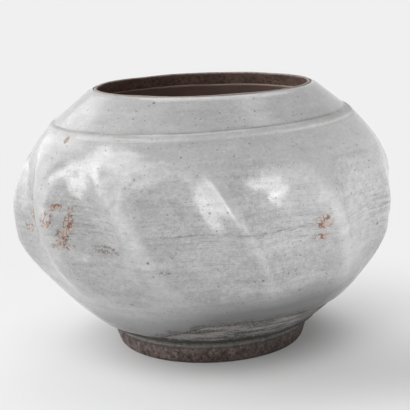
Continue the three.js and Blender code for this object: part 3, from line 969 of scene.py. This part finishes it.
def foot_clay_material():
    n = material_nodes("foot_clay")
    cloud = n.noise((60, 60, 40), 4, 0.6, 2.6)
    patch = n.noise((340, 340, 300), 4, 0.72, 5.5)
    grain = n.noise((1300, 1300, 1100), 3, 0.65, 7.1)
    base = n.mix(n.ramp(cloud, 0.4, 0.6), tone(70, 56, 52), tone(104, 88, 82))
    base = n.mix(n.ramp(patch, 0.5, 0.58, 0, 0.9), base, tone(40, 31, 29))
    base = n.mix(n.ramp(patch, 0.46, 0.36, 0, 0.75), base, tone(142, 122, 114))
    base = n.mix(n.ramp(grain, 0.54, 0.68, 0, 0.6), base, tone(150, 136, 128))
    # Painted shade: a dark line under the pale bevel, standing in for the shade of a groove.
    base = n.mix(n.times(n.value("groove_shade"), 0.6), base, tone(40, 32, 30))
    # Painted shade: the outside of the ring darkens towards its bottom edge, by the floor.
    base = n.mix(n.times(n.value("bottom_shade"), 0.7), base, tone(34, 28, 26))
    bevel = n.times(n.value("bevel"), n.ramp(patch, 0.42, 0.7, 1.0, 0.5))
    base = n.mix(n.times(bevel, 0.9), base, tone(148, 148, 141))
    normal = n.bump(n.plus(grain, patch), 0.0004, 0.8)
    return n.surface(base, n.ramp(grain, 0.3, 0.7, 0.45, 0.75), normal, 1.5)


def seen_directly(n):
    """1 for rays that show the background itself, 0 for those that gather light."""
    path = n.add("ShaderNodeLightPath").outputs
    seen = n.plus(path["Is Camera Ray"], path["Is Glossy Ray"])
    return n.math("ADD", seen, path["Is Transmission Ray"], True)


def stage_material(name, color):
    """A pale floor that keeps a shadow near the jar, with painted shade round its foot and in front to
    the right, and fades to an even ground further off.
    """
    n = material_nodes(name)
    grain = n.noise((40, 40, 40), 2, 0.5, 0.4)
    darker = tuple(0.985 * part for part in color[:3]) + (1.0,)
    near = n.mix(n.ramp(grain, 0.3, 0.7), color, darker)
    lit = n.add("ShaderNodeBsdfDiffuse", None, Color=near)
    bright = n.add("ShaderNodeBsdfDiffuse", None, Color=(FLOOR_SHARE, FLOOR_SHARE, FLOOR_SHARE, 1.0))
    flat = n.scaled((1.0, 1.0, 0.0))
    away = n.add("ShaderNodeVectorMath", {"operation": "LENGTH"})
    n.put(away.inputs[0], flat)
    away = away.outputs["Value"]
    # Painted shade: the floor's own light is dimmer close to the jar.
    glow = n.ramp(away, *GLOW_REACH, 0.4 * FLOOR_GLOW, FLOOR_GLOW)
    glow = n.add("ShaderNodeEmission", None, Color=(1, 1, 1, 1), Strength=glow)
    floor = n.add("ShaderNodeAddShader")
    n.put(floor.inputs[0], bright.outputs[0])
    n.put(floor.inputs[1], glow.outputs[0])
    shifted = n.add("ShaderNodeVectorMath", {"operation": "MULTIPLY_ADD"})
    n.put(shifted.inputs[0], flat)
    shifted.inputs[1].default_value = (1 / SHADE_REACH[0], 1 / SHADE_REACH[1], 0)
    shifted.inputs[2].default_value = (
        -SHADE_MIDDLE[0] / SHADE_REACH[0], -SHADE_MIDDLE[1] / SHADE_REACH[1], 0)
    off = n.add("ShaderNodeVectorMath", {"operation": "LENGTH"})
    n.put(off.inputs[0], shifted.outputs[0])
    # Painted shadow: the even ground is darker in a soft patch in front to the right.
    ground = n.ramp(off.outputs["Value"], 0.0, SHADE_END, GROUND - SHADE, GROUND)
    even = n.add("ShaderNodeEmission", None, Color=(1, 1, 1, 1), Strength=ground)
    shown = n.choose(n.ramp(away, *EVEN_REACH), floor.outputs[0], even.outputs[0])
    whole = n.choose(seen_directly(n), lit.outputs[0], shown)
    n.add("ShaderNodeOutputMaterial", None, Surface=whole)
    return n.owner


# Stage, camera and lamps
def sweep():
    """A floor that curves up into a backdrop."""
    share = np.linspace(0, math.pi / 2, 24)
    bend = 1.2
    back = 3.2
    line = [(-3.5, 0.0), (0.0, 0.0)]
    line += [(back + bend * math.sin(a), bend - bend * math.cos(a)) for a in share]
    line += [(back + bend, 5.0)]
    points = [(x, y, z - 0.0002) for y, z in line for x in (-4.5, 4.5)]
    faces = [(2 * i, 2 * i + 1, 2 * i + 3, 2 * i + 2) for i in range(len(line) - 1)]
    mesh = bpy.data.meshes.new("floor_sweep")
    mesh.from_pydata(points, [], faces)
    mesh.polygons.foreach_set("use_smooth", [True] * len(mesh.polygons))
    mesh.materials.append(stage_material("sweep", tone(242, 242, 242)))
    floor = bpy.data.objects.new("floor_sweep", mesh)
    bpy.context.scene.collection.objects.link(floor)


def area_lamp(name, width, height, radiance, kind):
    """A rectangular lamp. A soft one isn't mirrored in the glaze, and a gleam is only mirrored."""
    data = bpy.data.lights.new(name, "AREA")
    data.shape = "RECTANGLE"
    data.size = width
    data.size_y = height
    data.energy = radiance * math.pi * width * height
    light = bpy.data.objects.new(name, data)
    light.visible_camera = False
    light.visible_glossy = kind != "soft"
    light.visible_diffuse = kind != "gleam"
    bpy.context.scene.collection.objects.link(light)
    return light


def lamp(name, kind, azimuth, elevation, distance, width, height, radiance):
    """A lamp that faces the jar."""
    az, el = math.radians(azimuth), math.radians(elevation)
    away = Vector((math.sin(az) * math.cos(el), -math.cos(az) * math.cos(el), math.sin(el)))
    light = area_lamp(name, width, height, radiance, kind)
    light.location = LAMP_TARGET + distance * away
    light.rotation_euler = (-away).to_track_quat("-Z", "Y").to_euler()


def low_card(name, kind, azimuth, distance, width, length, radiance):
    """A bright card that lies on the floor and points at the jar."""
    az = math.radians(azimuth)
    light = area_lamp(name, width, length, radiance, kind)
    light.location = (distance * math.sin(az), -distance * math.cos(az), 0.004)
    light.rotation_euler = (math.pi, 0, az)


def camera():
    yaw, pitch, roll = (math.radians(part) for part in (CAMERA_YAW, CAMERA_PITCH, CAMERA_ROLL))
    level_turn = Vector((math.sin(yaw), math.cos(yaw), 0))
    forward = level_turn * math.cos(pitch) - Vector((0, 0, math.sin(pitch)))
    level = forward.cross(Vector((0, 0, 1))).normalized()
    upright = level.cross(forward)
    right = math.cos(roll) * level - math.sin(roll) * upright
    up = math.sin(roll) * level + math.cos(roll) * upright
    data = bpy.data.cameras.new("view")
    data.sensor_width = SENSOR_WIDTH
    data.lens = FOCAL_PIXELS / PICTURE_PIXELS * SENSOR_WIDTH
    eye = bpy.data.objects.new("view", data)
    turn = Matrix((right, up, -forward)).transposed()
    eye.matrix_world = Matrix.Translation(CAMERA_PLACE) @ turn.to_4x4()
    bpy.context.scene.collection.objects.link(eye)
    bpy.context.scene.camera = eye


def studio():
    """The world, even where it is seen and dim where it lights the jar."""
    scene = bpy.context.scene
    scene.view_settings.view_transform = "Standard"
    scene.world = bpy.data.worlds.new("studio")
    n = Nodes(scene.world)
    strength = n.add("ShaderNodeMapRange", None, Value=seen_directly(n))
    strength.inputs["To Min"].default_value = WORLD_LIGHT
    strength.inputs["To Max"].default_value = GROUND
    sky = n.add("ShaderNodeBackground", None, Color=(1, 1, 1, 1), Strength=strength.outputs[0])
    n.add("ShaderNodeOutputWorld", None, Surface=sky.outputs[0])


def lamps():
    """Soft lamps that light the jar, and gleams that only show in its glaze."""
    lamp("soft_left", "soft", -92, 30, 1.3, 1.0, 1.0, 3.5)
    lamp("soft_front_left", "soft", -38, 22, 1.3, 0.8, 0.9, 2.0)
    lamp("soft_front_right", "soft", 38, 22, 1.3, 0.8, 0.9, 0.2)
    lamp("soft_top", "soft", 10, 68, 1.4, 0.7, 0.7, 1.1)
    lamp("soft_right", "soft", 80, 10, 1.3, 0.9, 0.6, 0.15)
    low_card("soft_low_right", "soft", 50, 0.6, 0.6, 0.6, 6.6)
    low_card("soft_low_left", "soft", -50, 0.6, 0.6, 0.6, 0.6)
    lamp("top_back", "both", 170, 62, 1.5, 1.2, 1.0, 1.7)
    lamp("edge_left", "both", -130, 20, 1.3, 0.9, 0.9, 1.0)
    lamp("window_top", "gleam", -71, 50, 1.3, 0.5, 0.3, 3.7)
    lamp("window_side", "gleam", -93, 33, 1.3, 0.18, 0.84, 5.0)
    lamp("window_foot", "gleam", -85, 9, 1.3, 0.44, 0.3, 4.8)
    lamp("window_front", "gleam", -42.5, 43, 1.3, 0.37, 0.15, 4.4)
    lamp("strip_left", "gleam", -32.5, 17, 1.3, 0.35, 0.9, 4.5)
    low_card("card_left", "gleam", -37.5, 1.2, 0.22, 1.2, 4.5)
    low_card("card_front", "gleam", -27.5, 0.95, 0.19, 1.3, 4.5)
    lamp("strip_right", "gleam", 41, 15.5, 1.3, 0.14, 0.48, 6.5)
    lamp("strip_low", "gleam", 43, 0.5, 1.3, 0.34, 0.18, 7.0)


def place(piece, node, material):
    piece.data.materials.append(material)
    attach(piece, "root")
    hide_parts(node)


camera()
studio()
lamps()
sweep()
foot_clay = foot_clay_material()
bare_clay = bare_clay_material()
place(foot_ring(), "foot_ring", foot_clay)
place(lower_bowl(), "lower_bowl", bare_clay)
place(upper_bowl(), "upper_bowl", bare_clay)
place(shoulder_cordon(), "shoulder_cordon", bare_clay)
place(collar(), "collar", lip_clay_material())
place(outer_glaze(), "outer_glaze", pale_glaze())
place(inner_glaze(), "inner_glaze", inner_glaze_material())
